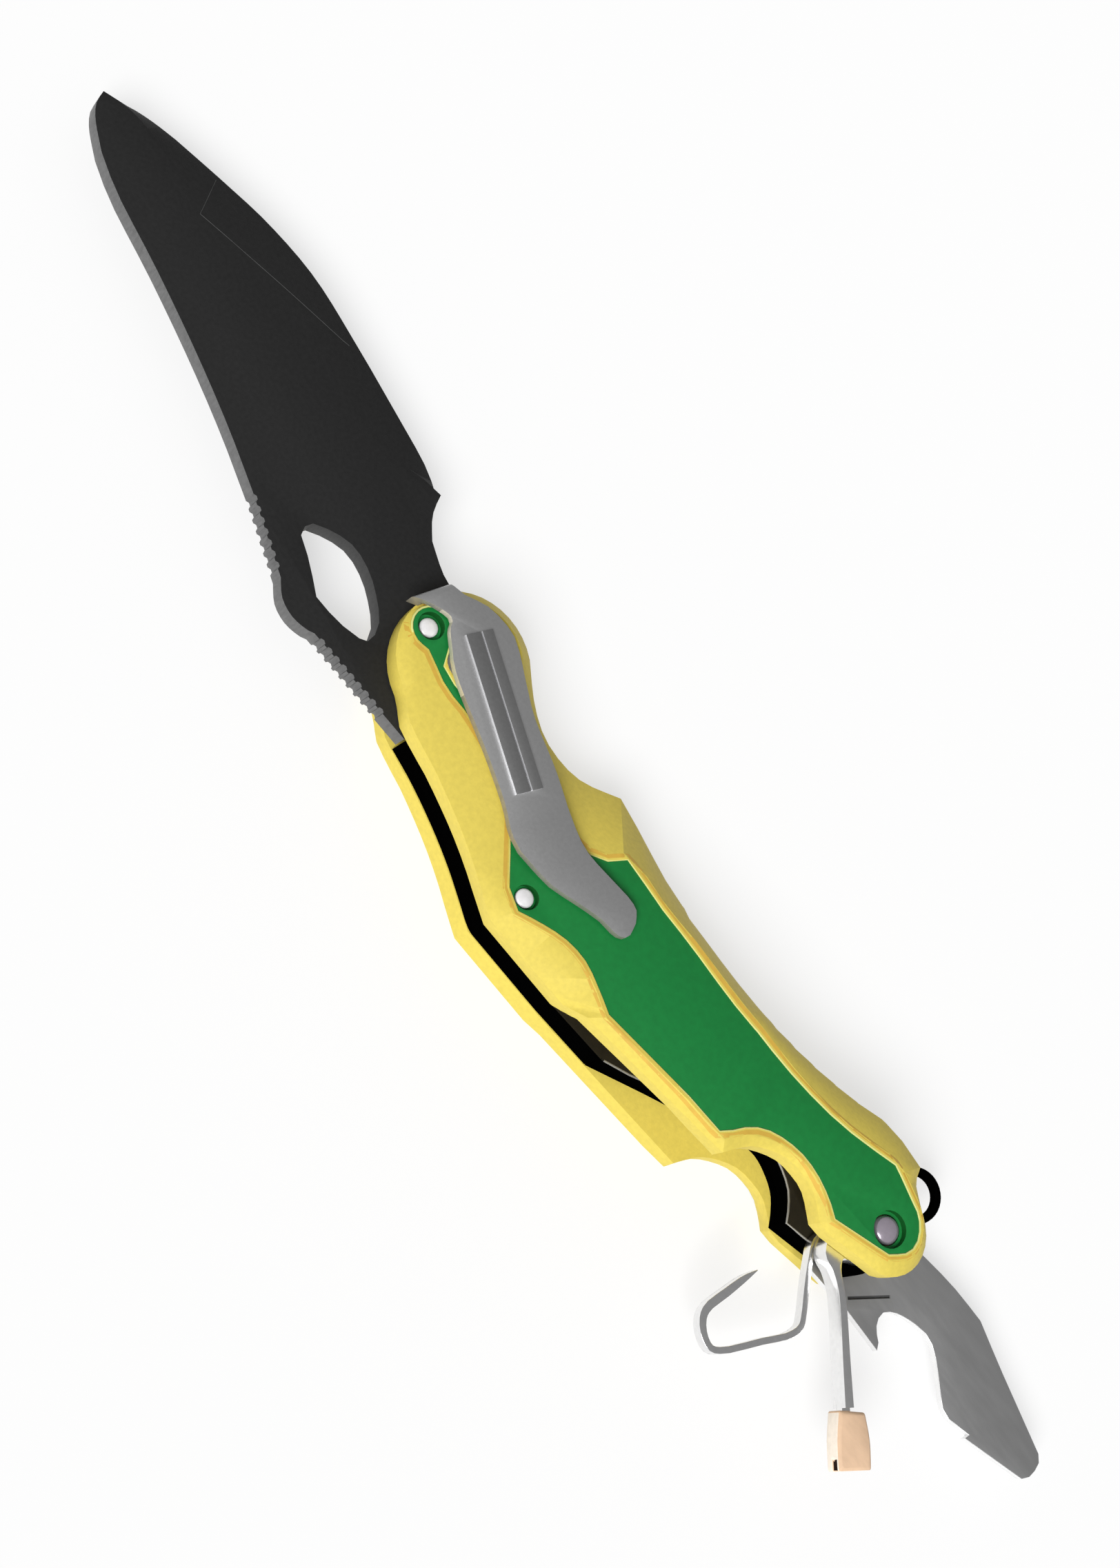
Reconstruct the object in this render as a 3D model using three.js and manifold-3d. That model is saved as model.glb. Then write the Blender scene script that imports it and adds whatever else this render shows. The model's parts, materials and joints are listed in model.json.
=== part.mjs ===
// Folding rigging knife: a one-hand-opening blade at the head end, and an opener, a sail hook and
// a seam rubber that turn on one pin at the tail end. Millimetres. The knife lies on its far scale:
// +Z runs through the thickness from the far scale to the clip side, +X runs from the tail to the
// blade tip, +Y points to the spine side. The origin is on the rest face under the handle's middle.
import * as THREE from 'three';
import { mergeVertices } from 'three/addons/utils/BufferGeometryUtils.js';
import Module from 'manifold-3d';

const wasm = await Module();
wasm.setup();

// ---- driving dimensions ------------------------------------------------------------------------

// Layers through the thickness, each [bottom, top]
const FAR_SCALE_TOP = 3.5;
const LINER_LAYER = [3.6, 4.8];
const OPENER_LAYER = [3.8, 4.85];
const SPACER_LAYER = [3.55, 8.0];
const BLADE_LAYER = [5.1, 7.8];
const HOOK_LAYER = [8.3, 9.9];
const RUBBER_LAYER = [10.2, 13.1];
const TONGUE_LAYER = [11, 12.3];
const LOOP_LAYER = [5.2, 6.4];
const NEAR_SCALE_BOTTOM = 8.1;
const BAY_TOP = 13.3;

// Near face of the handle: low over the blade pivot, then a ramp up to the thicker tail
const FACE_HEAD = 11.8;
const FACE_TAIL = 17;
const RAMP_LOW_X = 25;
const RAMP_HIGH_X = -12;
const NEAR_WALL = FACE_TAIL - BAY_TOP;

// Axes of the pins and screws
const PIVOT = { x: 45, y: 2 };
const TAIL_PIN = { x: -41.4, y: 5.1 };
const MID_SCREW = { x: 18.4, y: 15.5 };
const TOP_SCREW = { x: 51.2, y: 3.1 };
const STOP_PIN = { x: 37.3, y: 8.7 };
const CLIP_STUD = { x: 41.5, y: -0.5 };
const DETENT = { x: 30.4, y: 5.3 };

// Radii and thicknesses
const PIVOT_RADIUS = 2.4;
const TAIL_PIN_RADIUS = 1.5;
const RUNNING_GAP = 0.06;
const FIT_GAP = 0.12;
const WASHER_GAP = 0.03;
const INLAY_DEPTH = 1.6;
const INLAY_SINK = 0.12;
const CLIP_THICKNESS = 1;
const CLIP_UNDER = 12.2;
const TAB_ANGLE = -16;
const TAB_REACH = 9.63;
const TAB_BOTTOM = 10.9;
const CUT_GAP = 0.3;
const ROUND_SIDES = 24;
const SCREW_HEAD_ROOM = 1.6;
const TOP_SCREW_ROOM = 1.8;
const TAIL_HEAD_ROOM = 2.35;
const TOP_SCREW_SEAT = 10.4;
const MID_SCREW_SEAT = 11.6;
const TAIL_HEAD_STEP = 15.9;
const MID_NUT_ROOM = 1.75;
const TAIL_NUT_ROOM = 3.1;
const TAIL_WASHER_RADIUS = 3.4;
const TAIL_HEAD_FIT = 1.95;
const STOP_HOLE = 0.82;
const TOP_HOLE = 0.9;
const MID_HOLE = 0.96;

const COLOURS = {
  scale: { color: 0xe3cd55, roughness: 0.7, metalness: 0 },
  inlay: { color: 0x20803f, roughness: 0.55, metalness: 0 },
  blade: { color: 0x2a2a2a, roughness: 0.5, metalness: 0.5 },
  black: { color: 0x141414, roughness: 0.6, metalness: 0 },
  steel: { color: 0x8a8a8a, roughness: 0.4, metalness: 0.8 },
  bright: { color: 0xd8d8d8, roughness: 0.25, metalness: 0.9 },
  bronze: { color: 0xa9825a, roughness: 0.4, metalness: 0.8 },
  wood: { color: 0xe3c0a0, roughness: 0.75, metalness: 0 },
};

// ---- curves and outlines -----------------------------------------------------------------------

const radians = THREE.MathUtils.degToRad;
const point = ([x, y]) => new THREE.Vector2(x, y);
const line = (...ends) => new THREE.LineCurve(...ends.map(point));
const curve = (...points) => new THREE.SplineCurve(points.map(point));

function arc(x, y, radius, from, to) {
  return new THREE.EllipseCurve(x, y, radius, radius, radians(from), radians(to), to < from);
}

// Points along a chain of curves, spaced evenly on each, without each curve's last point
function along(...pieces) {
  return pieces.flatMap(([piece, count]) =>
    Array.from({ length: count }, (_, i) => piece.getPointAt(i / count)));
}

// A closed outline moved outwards by a distance, which may differ from point to point
function offset(outline, distance) {
  const amount = typeof distance === 'function' ? distance : () => distance;
  const last = outline.length;
  return outline.map((here, i) => {
    const back = here.clone().sub(outline[(i + last - 1) % last]).normalize();
    const ahead = outline[(i + 1) % last].clone().sub(here).normalize();
    const way = back.add(ahead).normalize();
    return here.clone().add(new THREE.Vector2(way.y, -way.x).multiplyScalar(amount(here, i)));
  });
}

// The outline of a strip that follows a path; each path point is [x, y, width]
function strip(path, samples, side = 0) {
  const spine = new THREE.CatmullRomCurve3(
    path.map(([x, y, width]) => new THREE.Vector3(x, y, width)), false, 'centripetal');
  const left = [];
  const right = [];
  for (let i = 0; i <= samples; i++) {
    const here = spine.getPoint(i / samples);
    const way = spine.getTangent(i / samples);
    const across = new THREE.Vector2(-way.y, way.x).normalize();
    left.push(point([here.x, here.y]).addScaledVector(across, here.z * (0.5 - side / 2)));
    right.unshift(point([here.x, here.y]).addScaledVector(across, -here.z * (0.5 + side / 2)));
  }
  const outline = [...left, ...right];
  return THREE.ShapeUtils.isClockWise(outline) ? outline.reverse() : outline;
}

// ---- solids ------------------------------------------------------------------------------------

function solidOf(vertices, triangles) {
  return new wasm.Manifold(new wasm.Mesh({
    numProp: 3,
    vertProperties: new Float32Array(vertices),
    triVerts: new Uint32Array(triangles),
  }));
}

function solid(geometry) {
  geometry.deleteAttribute('normal');
  geometry.deleteAttribute('uv');
  const merged = mergeVertices(geometry, 1e-4);
  return solidOf(merged.attributes.position.array, merged.index.array);
}

// A flat plate of one outline between two heights, with an optional rounded edge
function plate(outline, [bottom, top], edge = 0) {
  const geometry = new THREE.ExtrudeGeometry(new THREE.Shape(outline), {
    depth: top - bottom - 2 * edge,
    bevelEnabled: edge > 0,
    bevelThickness: edge,
    bevelSize: edge,
    bevelOffset: -edge,
    bevelSegments: 2,
  });
  return solid(geometry.translate(0, 0, bottom + edge));
}

// A closed body through outlines with equal numbers of points, counter-clockwise, lowest first
function loft(levels) {
  const count = levels[0].length;
  const triangles = [];
  for (let level = 0; level < levels.length - 1; level++) {
    for (let i = 0; i < count; i++) {
      const low = level * count + i;
      const next = level * count + (i + 1) % count;
      triangles.push(low, next, next + count, low, next + count, low + count);
    }
  }
  const cap = (level) => THREE.ShapeUtils.triangulateShape(level.map((p) => point([p.x, p.y])), []);
  const top = (levels.length - 1) * count;
  cap(levels[0]).forEach(([a, b, c]) => triangles.push(c, b, a));
  cap(levels.at(-1)).forEach(([a, b, c]) => triangles.push(top + a, top + b, top + c));
  return solidOf(levels.flat().flatMap((p) => [p.x, p.y, p.z]), triangles);
}

const lift = (outline, height) => outline.map((p, i) =>
  new THREE.Vector3(p.x, p.y, typeof height === 'function' ? height(p, i) : height));

// A slab seen from the side: its outline is [x, z] and it spans the knife's whole width in Y
const WIDE = 60;
function sideSlab(outline, turn = 0) {
  const shape = new THREE.Shape(outline.map(point));
  const geometry = new THREE.ExtrudeGeometry(shape, { depth: 2 * WIDE, bevelEnabled: false });
  geometry.rotateX(Math.PI / 2).translate(0, WIDE, 0).rotateZ(radians(turn));
  return solid(geometry);
}

function block([x0, x1], [y0, y1], [z0, z1]) {
  const geometry = new THREE.BoxGeometry(x1 - x0, y1 - y0, z1 - z0);
  return geometry.translate((x0 + x1) / 2, (y0 + y1) / 2, (z0 + z1) / 2);
}

function rod(centre, radius, [bottom, top], topRadius = radius, sides = ROUND_SIDES) {
  const geometry = new THREE.CylinderGeometry(topRadius, radius, top - bottom, sides);
  geometry.rotateX(Math.PI / 2).translate(centre.x, centre.y, (bottom + top) / 2);
  return solid(geometry);
}

// A body of revolution about an upright axis; the profile is [radius, z] and starts and ends at 0
function turned(centre, profile) {
  const geometry = new THREE.LatheGeometry(profile.map(point), ROUND_SIDES);
  return solid(geometry.rotateX(Math.PI / 2).translate(centre.x, centre.y, 0));
}

const cut = (body, ...tools) => tools.reduce((rest, tool) => rest.subtract(tool), body);
const join = (body, ...others) => others.reduce((whole, other) => whole.add(other), body);

const object = new THREE.Group();

function add(name, body, finish) {
  const mesh = body.getMesh();
  const geometry = new THREE.BufferGeometry();
  geometry.setAttribute('position', new THREE.BufferAttribute(mesh.vertProperties, 3));
  geometry.setIndex(new THREE.BufferAttribute(mesh.triVerts, 1));
  geometry.computeVertexNormals();
  const part = new THREE.Mesh(geometry, new THREE.MeshStandardMaterial(COLOURS[finish]));
  part.name = name;
  object.add(part);
}

// ---- handle outline ----------------------------------------------------------------------------

function faceHeight(x) {
  const height = THREE.MathUtils.mapLinear(x, RAMP_LOW_X, RAMP_HIGH_X, FACE_HEAD, FACE_TAIL);
  return THREE.MathUtils.clamp(height, FACE_HEAD, FACE_TAIL);
}

// Each stretch of the handle's edge, from the head along the spine to the tail and back: the edge,
// the rim round the near inlay that belongs to it, the height of the near scale's shoulder over it
// at its two ends, how far the shoulder stands out from the inner edge, and how far the far scale
// does so.
const SHOULDER_HEAD = 11.3;
const SHOULDER_BAY = 13.9;
const SHOULDER_TAIL = 16;
const SHOULDER_EDGE = 13.9;
const SHOULDER_HORN = 8.6;
const SHOULDER_NECK = 9.4;
const STRETCHES = [
  { // spine side of the head half, out to the elbow
    edge: curve([43.7, 13.1], [40.5, 13.75], [37.3, 14.2], [31.1, 15.65], [26.1, 17.2], [22.1, 18.75],
      [18.7, 20.05]),
    rim: curve([46.2, 8.3], [43.3, 7.9], [39.8, 7.5], [33, 8.9], [26.2, 12.4], [21.6, 16.6],
      [18.4, 18.3]),
    count: 12, shoulder: [SHOULDER_HEAD, SHOULDER_HEAD], swell: [0.05, 0.5],
  },
  { // the swell beside the mid screw
    edge: line([18.7, 20.05], [5.6, 19.3]),
    rim: curve([18.1, 18.4], [15.2, 17.2], [11.6, 15.9], [8, 15.8], [4.6, 16.6], [2.8, 17.5]),
    count: 9, shoulder: [SHOULDER_HEAD, SHOULDER_HEAD + 0.3], swell: [0.5, 0.5],
  },
  { // the step up to the tool bay
    edge: line([5.6, 19.3], [2.8, 19.05]),
    rim: line([2.5, 17.6], [1.6, 17.8]),
    count: 3, shoulder: [SHOULDER_HEAD + 0.3, SHOULDER_BAY], swell: [0.5, 0.3],
  },
  { // spine side of the tail half
    edge: line([2.8, 19.05], [-20, 16.66]),
    rim: line([1.5, 18], [-18.5, 16.2]),
    count: 6, shoulder: [SHOULDER_BAY, SHOULDER_TAIL], swell: [0.3, 0.2],
  },
  { // finger notch
    edge: curve([-20, 16.66], [-20.5, 15.5], [-22.2, 12.7], [-25.6, 10.3], [-28.4, 9.7],
      [-31.3, 9.9], [-34.75, 11.83]),
    rim: curve([-18.8, 16], [-19.2, 14.9], [-20.7, 12.7], [-22.9, 10.9], [-25.6, 9.6],
      [-28.4, 9.1], [-31.4, 9.3], [-34.9, 10.9]),
    count: 14, shoulder: [SHOULDER_TAIL, SHOULDER_TAIL], swell: [0.1, 0.1], far: [0.15, -0.85],
  },
  { // spine side of the tail end
    edge: curve([-34.75, 11.83], [-36.3, 11.8], [-40.3, 10.6], [-44.7, 9.3]),
    rim: curve([-35.2, 11], [-36.6, 10.6], [-40.3, 9.3], [-43.9, 7.9]),
    count: 5, shoulder: [SHOULDER_TAIL, SHOULDER_TAIL], swell: [0.1, 0.1], far: [-0.6, 0.3],
  },
  { // round tail end
    edge: arc(-41.4, 4.2, 6.1, 123, 245),
    rim: curve([-44.2, 7.7], [-45.6, 5.4], [-45.5, 2.9], [-43.9, 0.7]),
    count: 10, shoulder: [SHOULDER_TAIL, SHOULDER_EDGE], swell: [0.1, 0.3],
  },
  { // notch beside the lanyard loop
    edge: curve([-43.9, -1.4], [-41.9, -2.4], [-40.3, -3.4], [-39.6, -4.9]),
    rim: curve([-43.3, 0.3], [-41.6, -0.4], [-39.9, -0.9], [-38.2, -1.3]),
    count: 5, shoulder: [SHOULDER_EDGE, SHOULDER_EDGE], swell: [0.3, 0.4],
  },
  { // edge side, out to the horn
    edge: curve([-39.4, -5], [-33.5, -5.3], [-28.2, -4.1], [-21.1, -2.9], [-14.1, -2.2], [-6.9, -1.9],
      [0.8, -2.1], [6.8, -2.4], [13.5, -3.8], [19.2, -5.2]),
    rim: curve([-37.6, -1.4], [-36.2, -1.7], [-30.1, 0.5], [-24.9, 1.7], [-17.7, 2.4], [-8.7, 2.45],
      [1.2, 1.75], [6.5, 1.7], [12, 0.9], [14.1, 0.7]),
    count: 16, shoulder: [SHOULDER_EDGE, SHOULDER_HORN], swell: [0.5, 0.5],
  },
  { // neck between the horn and the head
    edge: curve([19.6, -5.2], [23.1, -2.8], [26, -1.6], [29.8, -1.3], [33, -1.9], [36.5, -3.6],
      [39.6, -5.8]),
    rim: curve([14.9, 1.4], [16.9, 4], [20, 4.9], [25, 4.5], [30, 3], [35, 1], [40, -2.6]),
    count: 11, shoulder: [SHOULDER_HORN, SHOULDER_NECK], swell: [0.4, 0.15],
  },
  { // round head end
    edge: arc(44.9, 1.9, 9.4, -118, 76),
    rim: arc(45.3, 1.9, 7.6, -118, 76),
    count: 22, shoulder: [SHOULDER_NECK, SHOULDER_HEAD], swell: [0.15, 0],
  },
  { // flare from the head back to the spine side
    edge: curve([47, 11.1], [45.4, 12], [44.2, 12.9]),
    rim: curve([47, 9.3], [46.8, 8.9], [46.4, 8.5]),
    count: 4, shoulder: [SHOULDER_HEAD, SHOULDER_HEAD], swell: [0.1, 0.05],
  },
];

const blendEnds = ([from, to], count) =>
  Array.from({ length: count }, (_, i) => THREE.MathUtils.lerp(from, to, i / count));
const EDGE = along(...STRETCHES.map(({ edge, count }) => [edge, count]));
const RIM = along(...STRETCHES.map(({ rim, count }) => [rim, count]));
const SHOULDER = STRETCHES.flatMap(({ shoulder, count }) => blendEnds(shoulder, count));
const SWELL = STRETCHES.flatMap(({ swell, count }) => blendEnds(swell, count));
const FAR_SWELL = STRETCHES.flatMap(({ swell, far = swell.map((v) => 1.6 * v), count }) =>
  blendEnds(far, count));

// The coloured inlay: a round end at the top screw, a narrow strip, and the broad tail panel
const INLAY = along(
  [arc(50.9, 3.1, 2.6, -145, 125), 16],
  [curve([49.1, 5.3], [47.4, 5.7], [45.3, 6.3], [42.9, 6.5], [39.8, 6.4], [33, 7.3], [28.6, 9],
    [25.1, 11.8], [20.4, 16.5], [18.8, 17.5]), 16],
  [curve([17.8, 17.5], [15.2, 16.3], [11.6, 15.1], [8, 15], [4.5, 16.1], [1.7, 17.2]), 10],
  [line([1.5, 17.3], [-17.6, 15.75]), 1],
  [curve([-17.6, 15.75], [-18.5, 14.5], [-19.7, 12.3], [-21.4, 10.55], [-24, 9.25],
    [-27.2, 8.5], [-30.6, 8.65], [-33.6, 9.45], [-35.5, 10.3]), 12],
  [line([-35.5, 10.3], [-43.4, 7.3]), 1],
  [curve([-43.4, 7.3], [-45, 5], [-44.8, 2.8], [-43, 0.9], [-40.7, 0.2], [-36.4, -0.9]), 12],
  [curve([-36.2, -0.9], [-30, 1.2], [-24.9, 2.4], [-17.6, 3.3], [-8.5, 3.5], [1.4, 2.7], [6.6, 2.45],
    [13.7, 1.5]), 14],
  [curve([13.9, 1.6], [16.1, 4.6], [20, 5.6], [28, 5.8], [34, 5], [40, 5.2], [44, 5.5],
    [46.6, 5.1], [48.8, 4]), 14],
);

// ---- scales and inlays -------------------------------------------------------------------------

const HIGH = 22;

// The near face as a side outline, lowered by a distance, from above the knife down to it
function aboveFace(drop = 0) {
  return sideSlab([[-60, FACE_TAIL - drop], [RAMP_HIGH_X, FACE_TAIL - drop],
    [RAMP_LOW_X, FACE_HEAD - drop], [70, FACE_HEAD - drop], [70, HIGH + 2], [-60, HIGH + 2]]);
}

// Everything below that face, lowered by a distance
function belowFace(drop) {
  return sideSlab([[-60, 5], [70, 5], [70, FACE_HEAD - drop], [RAMP_LOW_X, FACE_HEAD - drop],
    [RAMP_HIGH_X, FACE_TAIL - drop], [-60, FACE_TAIL - drop]]);
}

const INLAY_UNDER = INLAY_DEPTH + INLAY_SINK;
const GLUE_GAP = 0.1;

function scaleNear() {
  const shoulder = offset(EDGE, (_, i) => SWELL[i]);
  const body = loft([
    lift(EDGE, NEAR_SCALE_BOTTOM),
    lift(shoulder, (_, i) => SHOULDER[i]),
    lift(RIM, (p) => faceHeight(p.x)),
    lift(RIM, HIGH),
  ]);
  const bayStart = faceHeight(3) - NEAR_WALL;
  const bay = sideSlab([[-60, 2], [6, 2], [6, NEAR_SCALE_BOTTOM], [3, bayStart],
    [RAMP_HIGH_X, BAY_TOP], [-60, BAY_TOP]]);
  const pocket = cut(plate(offset(INLAY, FIT_GAP), [8, HIGH]), belowFace(INLAY_UNDER + GLUE_GAP));
  const tabInside = TAB_REACH - CLIP_THICKNESS - CUT_GAP;
  const tabNotch = solid(block([tabInside, 14], [-7, 5.2], [TAB_BOTTOM - CUT_GAP, HIGH])
    .rotateZ(radians(TAB_ANGLE))).translate([PIVOT.x, PIVOT.y, 0]);
  return cut(body, aboveFace(), bay, pocket, tabNotch,
    rod(PIVOT, PIVOT_RADIUS + RUNNING_GAP, [7, 12]),
    rod(PIVOT, 2.85, [10.5, 12]),
    rod(TOP_SCREW, TOP_HOLE, [7, 12]),
    rod(CLIP_STUD, 1.1, [9.3, 12]),
    rod(MID_SCREW, MID_HOLE, [7, 12]),
    rod(STOP_PIN, STOP_HOLE, [7, 9.2]),
    rod(TAIL_PIN, TAIL_HEAD_FIT, [15, 18]),
    rod(TAIL_PIN, TAIL_PIN_RADIUS + RUNNING_GAP, [12, 16]));
}

function inlayNear() {
  return cut(plate(INLAY, [8, HIGH]), belowFace(INLAY_UNDER), aboveFace(INLAY_SINK),
    rod(TOP_SCREW, TOP_HOLE, [7, HIGH]),
    rod(TOP_SCREW, TOP_SCREW_ROOM, [TOP_SCREW_SEAT, HIGH]),
    rod(MID_SCREW, MID_HOLE, [7, HIGH]),
    rod(MID_SCREW, SCREW_HEAD_ROOM, [MID_SCREW_SEAT, HIGH]),
    rod(TAIL_PIN, TAIL_HEAD_FIT, [7, HIGH]),
    rod(TAIL_PIN, TAIL_HEAD_ROOM, [TAIL_HEAD_STEP, HIGH]));
}

const FAR_POCKET = 1.35;
function farInlayOutline() {
  return INLAY.filter((p) => p.x < 36);
}

function scaleFar() {
  const body = loft([
    lift(offset(EDGE, -1), 0),
    lift(offset(EDGE, (_, i) => FAR_SWELL[i]), 1),
    lift(offset(EDGE, (_, i) => Math.min(0, 0.4 * FAR_SWELL[i])), FAR_SCALE_TOP),
  ]);
  return cut(body, plate(offset(farInlayOutline(), FIT_GAP), [-1, FAR_POCKET]),
    rod(PIVOT, 3.75, [-1, FAR_POCKET]),
    rod(PIVOT, PIVOT_RADIUS + RUNNING_GAP, [-1, 5]),
    rod(MID_SCREW, MID_NUT_ROOM, [-1, FAR_POCKET]),
    rod(MID_SCREW, MID_HOLE, [-1, 5]),
    rod(STOP_PIN, STOP_HOLE, [2.4, 5]),
    rod(TAIL_PIN, TAIL_NUT_ROOM, [-1, FAR_POCKET]),
    rod(TAIL_PIN, TAIL_PIN_RADIUS + RUNNING_GAP, [-1, 5]));
}

function inlayFar() {
  return cut(plate(farInlayOutline(), [INLAY_SINK, FAR_POCKET - 0.05]),
    rod(MID_SCREW, MID_NUT_ROOM, [-1, 5]),
    rod(TAIL_PIN, TAIL_NUT_ROOM, [-1, 5]));
}

// ---- inside the handle -------------------------------------------------------------------------

// A back strip from the blade's stop to the tail pin, with a slim lanyard loop at its end. Where
// the opener swings it leaves that layer free and keeps only a thin foot on the far scale.
const OPENER_SWING = 40.7;
const FOOT_TOP = 3.72;
const LOOP_NEAR = [-43.85, -4.75];
const LOOP_FAR = [-44.5, -7.2];
const LOOP_OUTER = 3.66;
const LOOP_INNER = 2.6;
const LOOP_TURN = 14;

// The long round-ended outline of the loop, at a distance from the line between its two centres
function loopOutline(radius) {
  return along([arc(...LOOP_NEAR, radius, -LOOP_TURN, 180 - LOOP_TURN), 18],
    [arc(...LOOP_FAR, radius, 180 - LOOP_TURN, 360 - LOOP_TURN), 18]);
}

function backSpacer() {
  const head = strip([[41.95, 13.35, 2.6], [37.3, 14.05, 2.8], [31.1, 15.5, 3], [26.1, 17.05, 3],
    [22.1, 18.6, 3], [18.7, 19.85, 3], [16.5, 19.8, 3]], 22, -1);
  const middle = strip([[18, 19.9, 3], [5.9, 19.2, 3], [-3.2, 18.3, 2.6]], 2, -1);
  const dip = strip([[-3.3, 18.3, 2.4], [-11.2, 14.1, 1.7], [-18, 10.7, 1.6], [-24.5, 7.4, 1.6],
    [-26.6, 6.95, 1.8], [-29, 7.35, 2], [-31.5, 8.4, 2.2], [-33.4, 10.2, 2.4], [-34.4, 11.5, 2.6]], 26, -1);
  const tail = along([line([-33.4, 8.6], [-34.4, 11.5]), 1], [line([-34.4, 11.5], [-39.7, 10.1]), 1],
    [arc(TAIL_PIN.x, TAIL_PIN.y, 4.9, 76, 236), 14], [arc(TAIL_PIN.x, TAIL_PIN.y, 4.9, -60, 40), 8]);
  const neck = strip([[-42, 5, 7], [-42.9, 0, 5.6], [-43.6, -3.4, 5.8]], 4);
  const lengths = [head, middle, dip, tail].map((outline) => plate(outline, SPACER_LAYER));
  const wide = join(...lengths, rod(MID_SCREW, 2.6, SPACER_LAYER), plate(neck, LOOP_LAYER),
    plate(loopOutline(LOOP_OUTER), LOOP_LAYER, 0.35));
  return cut(wide, rod(TAIL_PIN, OPENER_SWING, [FOOT_TOP, BLADE_LAYER[0]], OPENER_SWING, 120),
    rod(TAIL_PIN, TAIL_WASHER_RADIUS + RUNNING_GAP, [0, BLADE_LAYER[0]]),
    plate(loopOutline(LOOP_INNER), [0, 10]),
    rod(MID_SCREW, MID_HOLE, [0, 10]),
    rod(TAIL_PIN, TAIL_PIN_RADIUS + RUNNING_GAP, [0, 10]));
}

function linerFar() {
  const outline = along(
    [curve([40.6, 9.6], [36, 10.2], [31, 11.8], [26, 13.6], [20, 16.3]), 8],
    [line([19, 16.4], [5.5, 15.7]), 1],
    [line([5.5, 15.7], [2, 15]), 1],
    [curve([2, -1.1], [8, -1.7], [14, -3], [18.8, -4.2]), 6],
    [curve([19.4, -4.1], [22.6, -2], [26, -0.8], [29.8, -0.5], [33, -1], [36.6, -2.6]), 8],
    [arc(44.9, 1.9, 8.7, -150, 118), 30]);
  const leafSide = (y) => solid(block([12, 33], [y, y + 0.8], [0, 9]));
  return cut(plate(outline, LINER_LAYER), leafSide(1.6), leafSide(8.2),
    solid(block([32.2, 33], [1.6, 9], [0, 9])),
    rod(PIVOT, PIVOT_RADIUS + RUNNING_GAP, [0, 9]),
    rod(STOP_PIN, STOP_HOLE, [0, 9]),
    rod(MID_SCREW, 2.8, [0, 9]),
    rod(DETENT, STOP_HOLE, [0, 9]));
}

// The layer that a washer takes between two neighbours
const between = (bottom, top) => [bottom + WASHER_GAP, top - WASHER_GAP];

function washer(centre, inner, outer, layer) {
  return cut(rod(centre, outer, layer), rod(centre, inner, [layer[0] - 1, layer[1] + 1]));
}

// ---- blade -------------------------------------------------------------------------------------

const BLADE_SPINE = [
  [curve([127.2, -7.1], [126.4, -5.3], [124.6, -3.7], [121, -1.75]), 9],
  [curve([121, -1.75], [115.5, 0], [105.5, 1.9], [94.6, 4.4], [85.1, 7], [77, 9.65]), 14],
  [line([77, 9.65], [66.7, 13.6]), 1],
  [curve([66.7, 13.6], [64.6, 15.1], [62.2, 15.55], [60, 15.1], [58.9, 14.5]), 10],
  [line([58.9, 14.5], [42.2, 13.4]), 1],
];
const BLADE_TANG = [
  [line([42.2, 13.4], [42.3, 9.8]), 1],
  [arc(PIVOT.x, PIVOT.y, 8.25, 109, 248), 14],
  [curve([42.2, -5.7], [46, -6.3], [50.2, -5], [54.6, -4.7], [59.4, -6.4]), 12],
  [curve([59.4, -6.4], [61.9, -8.6], [63.4, -11.3]), 5],
];
const BLADE_EDGE = [
  [curve([63.4, -11.4], [67.6, -12.9], [75.4, -14.1], [84.3, -15.3], [94.4, -16.3], [103, -15.6],
    [110.3, -14], [118, -12]), 24],
  [curve([118, -12], [121.2, -10.9], [124, -9.6], [126.5, -7.9]), 8],
];
const EDGE_HEEL = 63.4;
const EDGE_TIP = 126.5;
const GRIND = 6.5;
const EDGE_HALF = 0.08;
const THUMB_HOLE = [
  [curve([69.4, 7.9], [66.2, 9.2], [62.3, 11.3]), 3],
  [curve([62.3, 11.3], [58.6, 11], [55.3, 10.1]), 3],
  [curve([55.2, 10], [54.3, 9.3], [54.3, 8.2]), 2],
  [curve([54.4, 8], [55.7, 6.1], [59.3, 4], [62.2, 3.1], [64.8, 3], [67.4, 4], [69.6, 5.5]), 10],
  [curve([69.7, 5.6], [70, 6.8], [69.5, 7.8]), 2],
];

// Thumb grooves across the spine between two points
const GROOVE_RISE = 0.1;
const GROOVE_RADIUS = 0.55;
function grooves(from, to, count, radius = GROOVE_RADIUS) {
  return Array.from({ length: count }, (_, i) => {
    const share = (i + 0.5) / count;
    const x = THREE.MathUtils.lerp(from[0], to[0], share);
    const y = THREE.MathUtils.lerp(from[1], to[1], share);
    return rod({ x, y: y + GROOVE_RISE }, radius, [4, 9], radius, 8);
  });
}

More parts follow.
